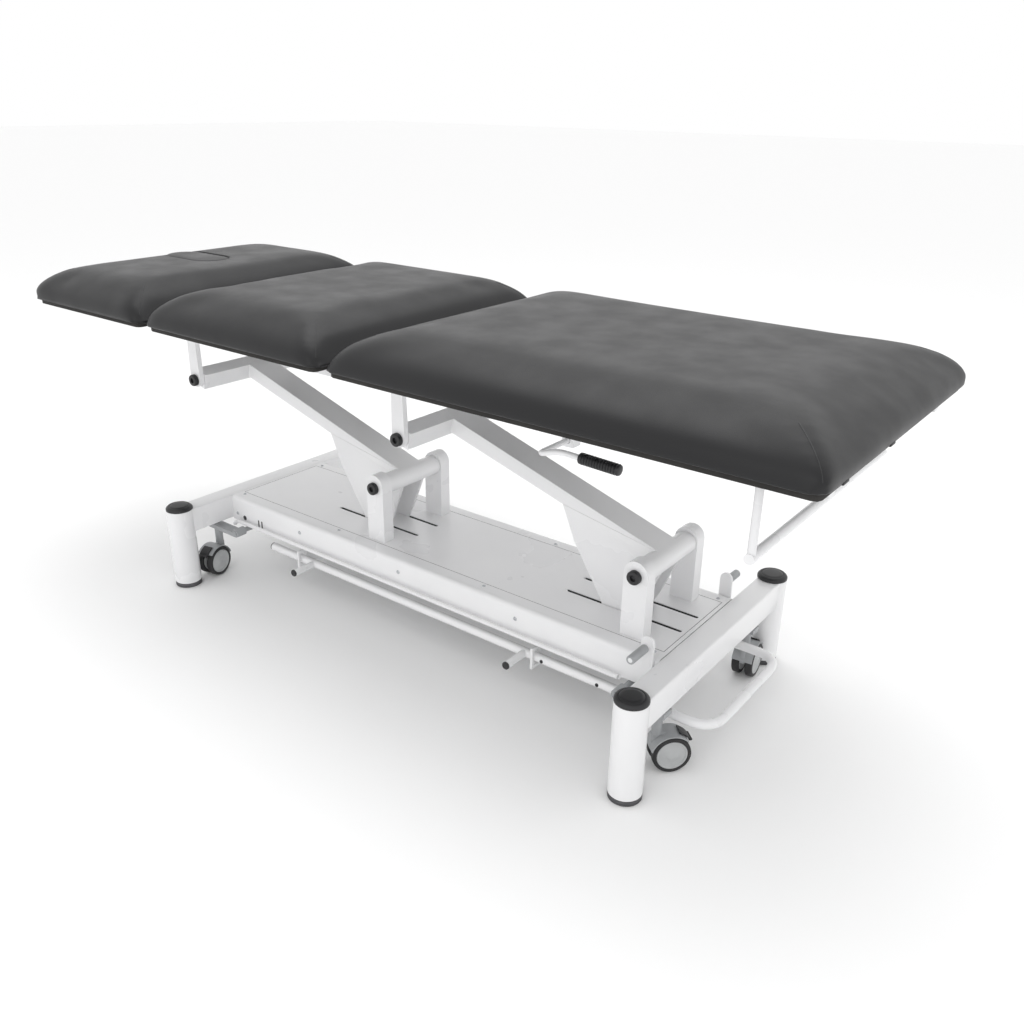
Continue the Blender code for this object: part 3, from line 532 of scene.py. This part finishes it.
def socket_head(radius, height, socket_radius):
    """Section of a socket screw's head, from its seat outwards."""
    return [(0.0, 0.0), (radius, 0.0), (radius, height - 0.0012), (radius - 0.0012, height),
            (socket_radius, height), (socket_radius * 0.96, height * 0.45), (0.0, height * 0.42)]


screws = bmesh.new()
for x in (-0.53, -0.19, 0.24, 0.64):
    for side in (-1, 1):
        head = turned(socket_head(0.0042, 0.0014, 0.002), upright(x, side * 0.128, 0.1996), 20)
        add_to(screws, head)
for side in (-1, 1):
    for x, z in ((-0.532, 0.156), (-0.300, 0.170), (0.02, 0.170), (0.34, 0.170)):
        head = turned(socket_head(0.0046, 0.0016, 0.0022), facing_y(x, side * 0.1531, z, side), 20)
        add_to(screws, head)
finish_piece("cover_screws", screws, "base", steel)
marks = bmesh.new()
for x in (-0.452, -0.440):
    add_to(marks, rounded_block((x - 0.002, -0.1536, 0.134), (x + 0.002, -0.1526, 0.158), 0.0004, 2))
disc = [(0.0, 0.0), (0.006, 0.0), (0.006, 0.0006), (0.0, 0.0006)]
add_to(marks, turned(disc, facing_y(-0.505, -0.1530, 0.150, -1), 24))
finish_piece("side_panel_vents", marks, "base", black_plastic)
print("cover details done")

# %% Boxes under the cover, with ribs
BOX_RIBS = 7
for node, radius in (("control_box", 0.005), ("switch_box", 0.003)):
    low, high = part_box(node)
    case = rounded_block(low, high, radius)
    for i in range(BOX_RIBS):
        x = low.x + (high.x - low.x) * (i + 1) / (BOX_RIBS + 1)
        add_to(case, rounded_block((x - 0.0015, low.y + 0.006, low.z - 0.001),
                                   (x + 0.0015, high.y - 0.006, low.z + 0.001), 0.0004, 1))
    slot = slot_of_node[node]
    finish_piece(node + "_case", case, "base", coat_of_slot[slot], [node])
motor = rounded_block((0.03, -0.072, 0.116), (0.13, 0.008, 0.190), 0.008)
along_x = Matrix.Translation((0.128, -0.009, 0.141)) @ Matrix.Rotation(pi / 2, 4, "Y")
add_to(motor, turned([(0.0102, 0.0), (0.0165, 0.0), (0.0165, 0.243), (0.0175, 0.245), (0.0175, 0.251),
                      (0.0165, 0.252), (0.0102, 0.252), (0.0102, 0.0)], along_x, 40))
finish_piece("actuator_motor_and_tube", motor, "base", grey_plastic, ["actuator_body"])
print("boxes done")

# %% [markdown]
# ## Pivots
#
# Each pivot is a shaft right across the couch, ending in a large black cap head. The head is
# turned from a section that steps in at its face, which leaves a round socket.


# %% Cap-headed shafts
def cap_head():
    return [(0.0, 0.0), (0.0132, 0.0), (0.0138, 0.0006), (0.0138, 0.0075), (0.0131, 0.0092),
            (0.0118, 0.0099), (0.0066, 0.0099), (0.0060, 0.0092), (0.0060, 0.0050), (0.0, 0.0048)]


for node in ("lower_shaft_head", "lower_shaft_foot", "upper_shaft_head", "upper_shaft_foot"):
    low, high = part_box(node)
    x, z = (low.x + high.x) / 2, (low.z + high.z) / 2
    face = high.y - 0.010
    shaft = bmesh.new()
    for side in (-1, 1):
        add_to(shaft, turned(cap_head(), facing_y(x, side * (face + 0.0004), z, side), 40))
    bar = [(0.0, 0.0), (0.006, 0.0), (0.006, 2 * face), (0.0, 2 * face)]
    add_to(shaft, turned(bar, facing_y(x, -face, z, 1), 24))
    finish_piece(node + "_turned", shaft, body_of_node[node], black_plastic, [node])
print("pivots done")

# %% [markdown]
# ## Bent tubes
#
# The foot bar runs all round the base at ankle height, so that a foot anywhere can lift or
# lower the couch. It is one bent tube with four pegs, and every open end has a black plug.

# %% Foot bar with pegs and plugs
bar_low, bar_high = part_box("foot_bar")
BAR_R, BAR_Z = 0.0095, 0.100
bar_y, nose_x = 0.148, bar_high.x - BAR_R
corners = [(bar_low.x, -bar_y, BAR_Z), (nose_x, -bar_y, BAR_Z), (nose_x, bar_y, BAR_Z),
           (bar_low.x, bar_y, BAR_Z)]
bar = tube(corners, BAR_R, bend=0.05)
plugs = bmesh.new()
plug_section = [(0.0, 0.0), (0.0078, 0.0), (0.0082, 0.001), (0.0080, 0.0035),
                (0.0064, 0.0050), (0.0, 0.0052)]
for x in (-0.259, 0.364):
    for side in (-1, 1):
        add_to(bar, tube([(x, side * bar_y, BAR_Z), (x, side * 0.2123, BAR_Z)], 0.008))
        add_to(plugs, turned(plug_section, facing_y(x, side * 0.2105, BAR_Z, side), 24))
for side in (-1, 1):
    back = (Matrix.Translation((bar_low.x + 0.0005, side * bar_y, BAR_Z))
            @ Matrix.Rotation(-pi / 2, 4, "Y"))
    add_to(plugs, turned([(r * 1.12, h) for r, h in plug_section], back, 24))
    for x in (0.41, 0.54):
        head_place = facing_y(x, side * (bar_y + 0.0088), BAR_Z, side)
        add_to(plugs, turned(socket_head(0.0038, 0.0024, 0.0018), head_place, 16))
finish_piece("foot_bar_tube", bar, "foot_bar", white_coat, ["foot_bar"])
finish_piece("foot_bar_plugs", plugs, "foot_bar", black_plastic)
print("foot bar", round(bar_high.x - bar_low.x, 3), "m long")

# %% Link rod of the wheel lift
link_low, link_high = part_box("wheel_lift_link")
link_y, link_z = -0.164, link_high.z - 0.005
link = tube([(link_low.x + 0.003, link_y, link_low.z + 0.004), (-0.520, link_y, link_z),
             (link_high.x, link_y, link_z)], 0.005, bend=0.010)
finish_piece("wheel_lift_rod", link, "wheel_link", white_coat, ["wheel_lift_link"])

# %% Grey sleeves on the pedals' pins
sleeves = bmesh.new()
for side in (-1, 1):
    sleeve = [(0.0048, 0.0), (0.0080, 0.0), (0.0083, 0.0006), (0.0083, 0.0500), (0.0076, 0.0512),
              (0.0048, 0.0512), (0.0044, 0.0505), (0.0044, 0.0430), (0.0, 0.0430)]
    add_to(sleeves, turned(sleeve, facing_y(0.638, side * 0.1622, 0.222, side), 28))
finish_piece("pedal_pin_sleeves", sleeves, "wheel_pedals", grey_plastic)

# %% [markdown]
# The bow at the foot end carries the sheet from a paper roll. Its two thin arms bend in under
# the board, and a thicker tube joins them. The release lever is a thin bent rod that ends in a
# ribbed black grip, turned in one piece with its ribs.

# %% Paper-roll bow
bow_low, bow_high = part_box("paper_roll_bow")
bow_x, bow_z = (bow_low.x + bow_high.x) / 2, bow_low.z + 0.0085
bow = tube([(bow_x, bow_low.y, bow_z), (bow_x, bow_high.y, bow_z)], 0.0085)
for side in (-1, 1):
    add_to(bow, tube([(bow_x, side * 0.285, bow_z), (bow_x, side * 0.285, 0.634),
                      (bow_x - 0.012, side * 0.285, bow_high.z)], 0.0065, bend=0.008))
finish_piece("paper_roll_bow_tube", bow, "upper", white_coat, ["paper_roll_bow"])

# %% Release lever and grip
LEVER_X, LEVER_Y, LEVER_Z = 0.470, -0.270, 0.583
lever = tube([(LEVER_X, -0.06, LEVER_Z), (LEVER_X, LEVER_Y, LEVER_Z), (0.512, LEVER_Y, 0.5965),
              (0.622, LEVER_Y, 0.592)], 0.005, bend=0.016)
finish_piece("release_lever_rod", lever, "release_lever", white_coat, ["release_lever"])
GRIP_START, GRIP_END = Vector((0.552, LEVER_Y, 0.5948)), Vector((0.628, LEVER_Y, 0.5918))
grip_length = (GRIP_END - GRIP_START).length
grip = [(0.0055, 0.0), (0.0082, 0.0), (0.0094, 0.0012)]
ribs = 13
for i in range(ribs):
    start = 0.004 + i * (grip_length - 0.010) / ribs
    width = (grip_length - 0.010) / ribs
    grip += [(0.0098, start + 0.15 * width), (0.0098, start + 0.60 * width),
             (0.0086, start + 0.72 * width), (0.0086, start + 0.92 * width)]
grip += [(0.0098, grip_length - 0.004), (0.0086, grip_length - 0.001), (0.006, grip_length),
         (0.0, grip_length)]
aim = (GRIP_END - GRIP_START).to_track_quat("Z", "Y").to_matrix().to_4x4()
finish_piece("release_grip_ribbed", turned(grip, Matrix.Translation(GRIP_START) @ aim, 32),
             "release_lever", black_plastic, ["release_grip"], 30)

# %% Gas strut
strut_low, strut_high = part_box("gas_strut_cylinder")
strut_y, strut_z = 0.060, 0.566
aim_x = Matrix.Translation((strut_low.x, strut_y, strut_z)) @ Matrix.Rotation(pi / 2, 4, "Y")
strut = turned([(0.0056, 0.0), (0.0096, 0.0), (0.011, 0.0016), (0.011, 0.229), (0.0098, 0.2335),
                (0.006, 0.237), (0.0, 0.237)], aim_x, 40)
add_to(strut, rounded_block((0.433, strut_y - 0.007, strut_z - 0.008),
                            (strut_high.x, strut_y + 0.007, strut_high.z), 0.0015))
finish_piece("gas_strut_barrel", strut, "upper", black_coat, ["gas_strut_cylinder"])
print("tubes and strut done")

# %% [markdown]
# ## Castors
#
# A twin-wheel castor has a moulded hood over two wheels on one axle. Each wheel is a pale disc
# with a raised rim and a hub boss, inside a black tread. Disc, tread and hood are turned or
# swept from sections, and the brake pedal is a small black lip at the front of the hood.

# %% Sections of the castor's turned pieces
TRAIL, WHEEL_R = 0.026, 0.0365
STEM = [(0.0, 0.0375), (0.0088, 0.0375), (0.0095, 0.0385), (0.0095, 0.0772), (0.0082, 0.0785),
        (0.005, 0.0786), (0.005, 0.0885), (0.0, 0.0885)]
AXLE = [(0.0, -0.008), (0.005, -0.008), (0.005, 0.008), (0.0, 0.008)]
AXLE_BOSS = [(0.0058, -0.0052), (0.013, -0.0052), (0.014, -0.004), (0.014, 0.004),
             (0.013, 0.0052), (0.0058, 0.0052), (0.0058, -0.0052)]
HUB_DISC = [(0.0, 0.0065), (0.0285, 0.0065), (0.0296, 0.009), (0.0296, 0.0205), (0.0285, 0.0218),
            (0.0268, 0.0218), (0.0258, 0.0205), (0.0250, 0.0198), (0.012, 0.0203),
            (0.0105, 0.0212), (0.0085, 0.0222), (0.0, 0.0224)]
TREAD = [(0.0290, 0.0070), (0.0345, 0.0066), (0.0362, 0.0080), (WHEEL_R, 0.0110),
         (WHEEL_R, 0.0180), (0.0360, 0.0208), (0.0340, 0.0222), (0.0305, 0.0224),
         (0.0292, 0.0215), (0.0290, 0.0070)]
print("castor sections", len(STEM), len(HUB_DISC), len(TREAD))


# %% Castor pieces


def swivel_place(end, hand):
    """Where a castor's axes are, read from its joints."""
    joints = {j["name"]: j for j in frame["joints"]}
    pivot = Vector(joints[f"swivel_{end}_{hand}"]["pos_m"])
    axle = Vector(joints[f"roll_{end}_{hand}"]["pos_m"])
    heading = (axle - pivot).normalized()
    across = Vector((-heading.y, heading.x, 0.0))
    turn = Matrix((heading, across, Vector((0, 0, 1)))).transposed().to_4x4()
    return Matrix.Translation(pivot) @ turn


def hood_shell(place):
    """Roof over the wheels: a strip of arc spun about the axle, then given a wall."""
    bm = bmesh.new()
    start = Matrix.Rotation(-radians(42), 4, "Y") @ Vector((0.0403, 0.0, 0.0))
    rim = [bm.verts.new((TRAIL + start.x, y, start.z)) for y in (-0.0215, -0.0195, 0.0, 0.0195, 0.0215)]
    edges = [bm.edges.new(pair) for pair in zip(rim, rim[1:])]
    bmesh.ops.spin(bm, geom=rim + edges, cent=(TRAIL, 0, 0), axis=(0, 1, 0),
                   angle=-radians(123), steps=24)
    bmesh.ops.recalc_face_normals(bm, faces=bm.faces)
    if sum(f.normal.dot(f.calc_center_median() - Vector((TRAIL, 0, 0))) for f in bm.faces) < 0:
        bmesh.ops.reverse_faces(bm, faces=bm.faces)
    bmesh.ops.solidify(bm, geom=bm.faces[:], thickness=0.0022)
    bmesh.ops.transform(bm, matrix=place, verts=bm.verts)
    return bm


def brake_pedal(place):
    """A curved lip over the front of the hood, ending in a step for the shoe."""
    bm = bmesh.new()
    start = Matrix.Rotation(-radians(36), 4, "Y") @ Vector((0.0440, 0.0, 0.0))
    rim = [bm.verts.new((TRAIL + start.x, y, start.z)) for y in (-0.0125, -0.0105, 0.0105, 0.0125)]
    edges = [bm.edges.new(pair) for pair in zip(rim, rim[1:])]
    bmesh.ops.spin(bm, geom=rim + edges, cent=(TRAIL, 0, 0), axis=(0, 1, 0),
                   angle=-radians(34), steps=8)
    bmesh.ops.recalc_face_normals(bm, faces=bm.faces)
    bmesh.ops.solidify(bm, geom=bm.faces[:], thickness=0.0020)
    bmesh.ops.recalc_face_normals(bm, faces=bm.faces)
    add_to(bm, rounded_block((0.0585, -0.0125, 0.0225), (0.0650, 0.0125, 0.0262), 0.0015))
    bmesh.ops.transform(bm, matrix=place, verts=bm.verts)
    return bm


def castor(end, hand):
    place = swivel_place(end, hand)
    name = f"{end}_{hand}"
    body = f"swivel_{name}"
    fork_node = f"caster_fork_{name}"
    fork = hood_shell(place)
    add_to(fork, turned(STEM, place, 32))
    web = rounded_block((-0.011, -0.005, 0.004), (TRAIL + 0.006, 0.005, 0.0395), 0.002)
    bmesh.ops.transform(web, matrix=place, verts=web.verts)
    add_to(fork, web)
    axle_turn = place @ Matrix.Translation((TRAIL, 0, 0)) @ Matrix.Rotation(-pi / 2, 4, "X")
    add_to(fork, turned(AXLE_BOSS, axle_turn, 32))
    finish_piece(f"castor_hood_{name}", fork, body, grey_plastic, [fork_node])
    discs, treads = bmesh.new(), bmesh.new()
    for side in (-1, 1):
        out = place @ Matrix.Translation((TRAIL, 0, 0)) @ Matrix.Rotation(-side * pi / 2, 4, "X")
        add_to(discs, turned(HUB_DISC, out, 48))
        add_to(treads, turned(TREAD, out, 48))
    add_to(discs, turned(AXLE, axle_turn, 20))
    finish_piece(f"castor_discs_{name}", discs, f"wheel_{name}", hub_plastic,
                 [f"caster_wheel_{name}"])
    finish_piece(f"castor_treads_{name}", treads, f"wheel_{name}", tread_rubber)
    pedal = brake_pedal(place)
    finish_piece(f"castor_brake_{name}", pedal, f"brake_{name}", black_plastic,
                 [f"caster_brake_{name}"])


for end in ("head", "foot"):
    for hand in ("left", "right"):
        castor(end, hand)
print("castors done")

# %% [markdown]
# ## Cushions
#
# Each section is a foam block pulled tight under synthetic leather that is stapled below the
# board. The foam pushes the skin into a pillow: broad rolls at all edges, drawn-in sides and a
# nearly flat top. A plain block could never show that tension, so each cushion starts as a
# stack of rounded outlines that draw in towards the top, and is blown up by a short cloth
# simulation with its underside held still. The travel of every point is capped, so the
# cushion keeps its size. An end beside a hinge leans back, which leaves its neighbour room
# to tilt.


# %% Starting block of a cushion
CORNER, BULGE = 0.028, 0.008
HINGE_Z, LEAN = 0.650, 0.577


def foam_ring(bm, low, high, insets, corner, z, steps=8):
    """A rounded rectangle of vertices; insets are at the low end, the high end and the sides."""
    ring = []
    for quarter, (toward_x, toward_y) in enumerate(((1, 1), (-1, 1), (-1, -1), (1, -1))):
        centre_x = (high.x - insets[1] - corner) if toward_x > 0 else (low.x + insets[0] + corner)
        centre_y = (high.y - insets[2] - corner) * toward_y
        for i in range(steps + 1):
            angle = (quarter + i / steps) * pi / 2
            ring.append(bm.verts.new((centre_x + corner * cos(angle),
                                      centre_y + corner * sin(angle), z)))
    return [bm.edges.new(pair) for pair in zip(ring, ring[1:] + ring[:1])]


def foam_block(low, high, roll, hinged):
    """Rings that draw in towards the top; an end beside a hinge leans away from its neighbour."""
    bm = bmesh.new()
    height, wall, steps = high.z - low.z, 0.17, 10
    loops = [foam_ring(bm, low, high, [0.003] * 3, CORNER, low.z)]
    for i in range(steps + 1):
        angle = (pi / 2) * i / steps
        inset = roll * (1 - cos(angle)) - BULGE
        z = low.z + height * (wall + (1 - wall) * sin(angle))
        ends = [max(inset, LEAN * (z - HINGE_Z) - 0.004) if near else inset for near in hinged]
        loops.append(foam_ring(bm, low, high, [*ends, inset], CORNER + 0.35 * (inset + BULGE), z))
    for below, above in zip(loops, loops[1:]):
        bmesh.ops.bridge_loops(bm, edges=below + above)
    bmesh.ops.contextual_create(bm, geom=loops[0])
    bmesh.ops.contextual_create(bm, geom=loops[-1])
    bmesh.ops.recalc_face_normals(bm, faces=bm.faces)
    return bm


def blown_cushion(name, low, high, roll, hinged, voxel, cap):
    bm = foam_block(low, high, roll, hinged)
    mesh = bpy.data.meshes.new(name)
    bm.to_mesh(mesh)
    bm.free()
    cushion = bpy.data.objects.new(name, mesh)
    bpy.context.scene.collection.objects.link(cushion)
    remesh = cushion.modifiers.new("even_skin", "REMESH")
    remesh.mode = "VOXEL"
    remesh.voxel_size = voxel
    apply_all(cushion)
    rest = [v.co.copy() for v in cushion.data.vertices]
    held = cushion.vertex_groups.new(name="stapled")
    held.add([v.index for v in cushion.data.vertices if v.co.z < low.z + 0.006], 1.0, "REPLACE")
    cloth = cushion.modifiers.new("skin", "CLOTH")
    cloth.settings.use_pressure = True
    cloth.settings.uniform_pressure_force = 4.0
    cloth.settings.quality = 4
    cloth.settings.tension_stiffness = 25.0
    cloth.settings.bending_stiffness = 20.0
    cloth.settings.vertex_group_mass = "stapled"
    cloth.settings.effector_weights.gravity = 0.0
    cloth.collision_settings.use_collision = False
    cloth.point_cache.frame_start = 1
    cloth.point_cache.frame_end = 20
    for step in range(1, 21):
        bpy.context.scene.frame_set(step)
    apply_all(cushion)
    bpy.context.scene.frame_set(1)
    for vertex, start in zip(cushion.data.vertices, rest):
        travel = vertex.co - start
        if travel.length > cap:
            vertex.co = start + travel * (cap / travel.length)
        vertex.co.z = max(vertex.co.z, low.z)
    smooth = bmesh.new()
    smooth.from_mesh(cushion.data)
    for _ in range(18):
        loose = [v for v in smooth.verts if v.co.z > low.z + 0.004]
        bmesh.ops.smooth_vert(smooth, verts=loose, factor=0.5, use_axis_x=True, use_axis_y=True,
                              use_axis_z=True)
    smooth.to_mesh(cushion.data)
    smooth.free()
    return cushion


def apply_all(piece):
    bpy.context.view_layer.update()
    mesh = bpy.data.meshes.new_from_object(piece.evaluated_get(bpy.context.evaluated_depsgraph_get()))
    piece.modifiers.clear()
    piece.data = mesh


# %% Blow up the three cushions
HEAD_HINGE_X, BACK_HINGE_X, SKIRT_Z = -0.534, 0.026, 0.6590
CUSHIONS = {"headrest_cushion": ("headrest", 0.125, -0.975, HEAD_HINGE_X, (False, True)),
            "backrest_cushion": ("backrest", 0.125, HEAD_HINGE_X, BACK_HINGE_X, (True, True)),
            "seat_cushion": ("upper", 0.135, BACK_HINGE_X, 0.975, (True, False))}
made = {}
for node, (body, roll, low_x, high_x, hinged) in CUSHIONS.items():
    low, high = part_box(node)
    made[node] = blown_cushion(node.replace("cushion", "pad_leather"),
                               Vector((low_x + 0.001, low.y + 0.001, SKIRT_Z)),
                               Vector((high_x - 0.001, high.y - 0.001, high.z - 0.004)),
                               roll, hinged, 0.0085, 0.006)
    print(node, len(made[node].data.polygons), "faces")

# %% [markdown]
# The head section has a face hole, closed by a plug of the same leather. The hole is cut
# through the blown cushion, and the plug is a stack of rounded slots with a soft top edge.


# %% Face hole and plug
def face_outline(length, width, z, bm, steps=20):
    """A rounded slot of vertices about the hole's centre."""
    reach = (length - width) / 2
    ring = []
    for i in range(2 * steps):
        angle = pi * i / steps + pi / (2 * steps)
        shift = reach if cos(angle) > 0 else -reach
        ring.append(bm.verts.new((HOLE_X + shift + width / 2 * cos(angle), width / 2 * sin(angle), z)))
    return ring


plug_low, plug_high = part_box("breathing_hole_plug")
HOLE_X = (plug_low.x + plug_high.x) / 2
hole_length, hole_width = plug_high.x - plug_low.x, plug_high.y - plug_low.y


def slot_solid(sections):
    """Stacked rounded slots, joined ring to ring and closed at both ends."""
    bm = bmesh.new()
    rings = [face_outline(hole_length - 2 * less, hole_width - 2 * less, z, bm) for less, z in sections]
    loops = [[bm.edges.new((a, b)) for a, b in zip(ring, ring[1:] + ring[:1])] for ring in rings]
    for below, above in zip(loops, loops[1:]):
        bmesh.ops.bridge_loops(bm, edges=below + above)
    bmesh.ops.contextual_create(bm, geom=loops[0])
    bmesh.ops.contextual_create(bm, geom=loops[-1])
    bmesh.ops.recalc_face_normals(bm, faces=bm.faces)
    return bm


pad = made["headrest_cushion"]
cutter_mesh = bpy.data.meshes.new("hole_tool")
cutter_bm = slot_solid([(-0.0012, 0.60), (-0.0012, 0.80)])
cutter_bm.to_mesh(cutter_mesh)
cutter_bm.free()
cutter = bpy.data.objects.new("hole_tool", cutter_mesh)
bpy.context.scene.collection.objects.link(cutter)
cut = pad.modifiers.new("face_hole", "BOOLEAN")
cut.operation = "DIFFERENCE"
cut.object = cutter
apply_all(pad)
bpy.data.objects.remove(cutter, do_unlink=True)
plug_top = max(vertex.co.z for vertex in pad.data.vertices) + 0.0005
plug = slot_solid([(0.004, plug_low.z), (0.0006, plug_low.z + 0.003), (0.0002, plug_top - 0.012),
                   (0.0012, plug_top - 0.006), (0.0035, plug_top - 0.0025), (0.008, plug_top - 0.0008),
                   (0.016, plug_top), (0.030, plug_top + 0.0004)])
plug_piece = finish_piece("face_hole_plug", plug, "plug", leather,
                          ["breathing_hole_plug"], 60)
print("plug", round(hole_length, 3), "by", round(hole_width, 3))

# %% Finish the cushions
for node, cushion in made.items():
    body = CUSHIONS[node][0]
    cushion.data.materials.clear()
    cushion.data.materials.append(leather)
    cushion.data.shade_smooth()
    if node != "headrest_cushion":
        fine = cushion.modifiers.new("fine_skin", "SUBSURF")
        fine.levels = fine.render_levels = 1
    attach(cushion, body)
    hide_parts(node)
    print(cushion.name, "rides on", body)

# %% [markdown]
# The leather is sewn at the four corners of each cushion. The seam runs from the bottom edge
# up over the roll, so its line is found by dropping points onto the finished surface along
# the corner's diagonal, and a thin cord of thread is laid there.


# %% Corner seams
DIAGONAL = 0.7071


def corner_seams(cushion, node, body):
    bpy.context.view_layer.update()
    tree = BVHTree.FromObject(cushion, bpy.context.evaluated_depsgraph_get())
    low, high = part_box(node)
    seams = bmesh.new()
    for corner_x, inward_x in ((CUSHIONS[node][2], 1), (CUSHIONS[node][3], -1)):
        for corner_y, inward_y in ((low.y, 1), (high.y, -1)):
            centre = Vector((corner_x + inward_x * 0.11, corner_y + inward_y * 0.11, low.z - 0.005))
            path = []
            for i in range(15):
                angle = radians(8 + i * 3.4)
                flat = cos(angle) * DIAGONAL
                outward = Vector((-inward_x * flat, -inward_y * flat, sin(angle)))
                hit = tree.ray_cast(centre + outward * 0.5, -outward)
                if hit[0] is not None and hit[0].z > low.z + 0.004:
                    path.append(hit[0] - hit[1] * 0.0002)
            if len(path) > 3:
                add_to(seams, tube(path, 0.0009, bend=0.002))
    finish_piece(node.replace("cushion", "corner_seams"), seams, body, black_plastic)


for node, cushion in made.items():
    corner_seams(cushion, node, CUSHIONS[node][0])

# %% Tabs at the foot end
tabs = bmesh.new()
for y in (-0.27, -0.075):
    add_to(tabs, rounded_block((0.955, y - 0.011, 0.6585), (0.9728, y + 0.011, 0.6632), 0.0015, 2))
finish_piece("foot_end_tabs", tabs, "upper", black_plastic)

# %% [markdown]
# ## Finish
#
# Every CAD node that still shows gets the finish of its material slot.

for node, piece in frame["nodes"].items():
    if not piece.hide_render:
        piece.data.materials.clear()
        piece.data.materials.append(coat_of_slot[slot_of_node[node]])
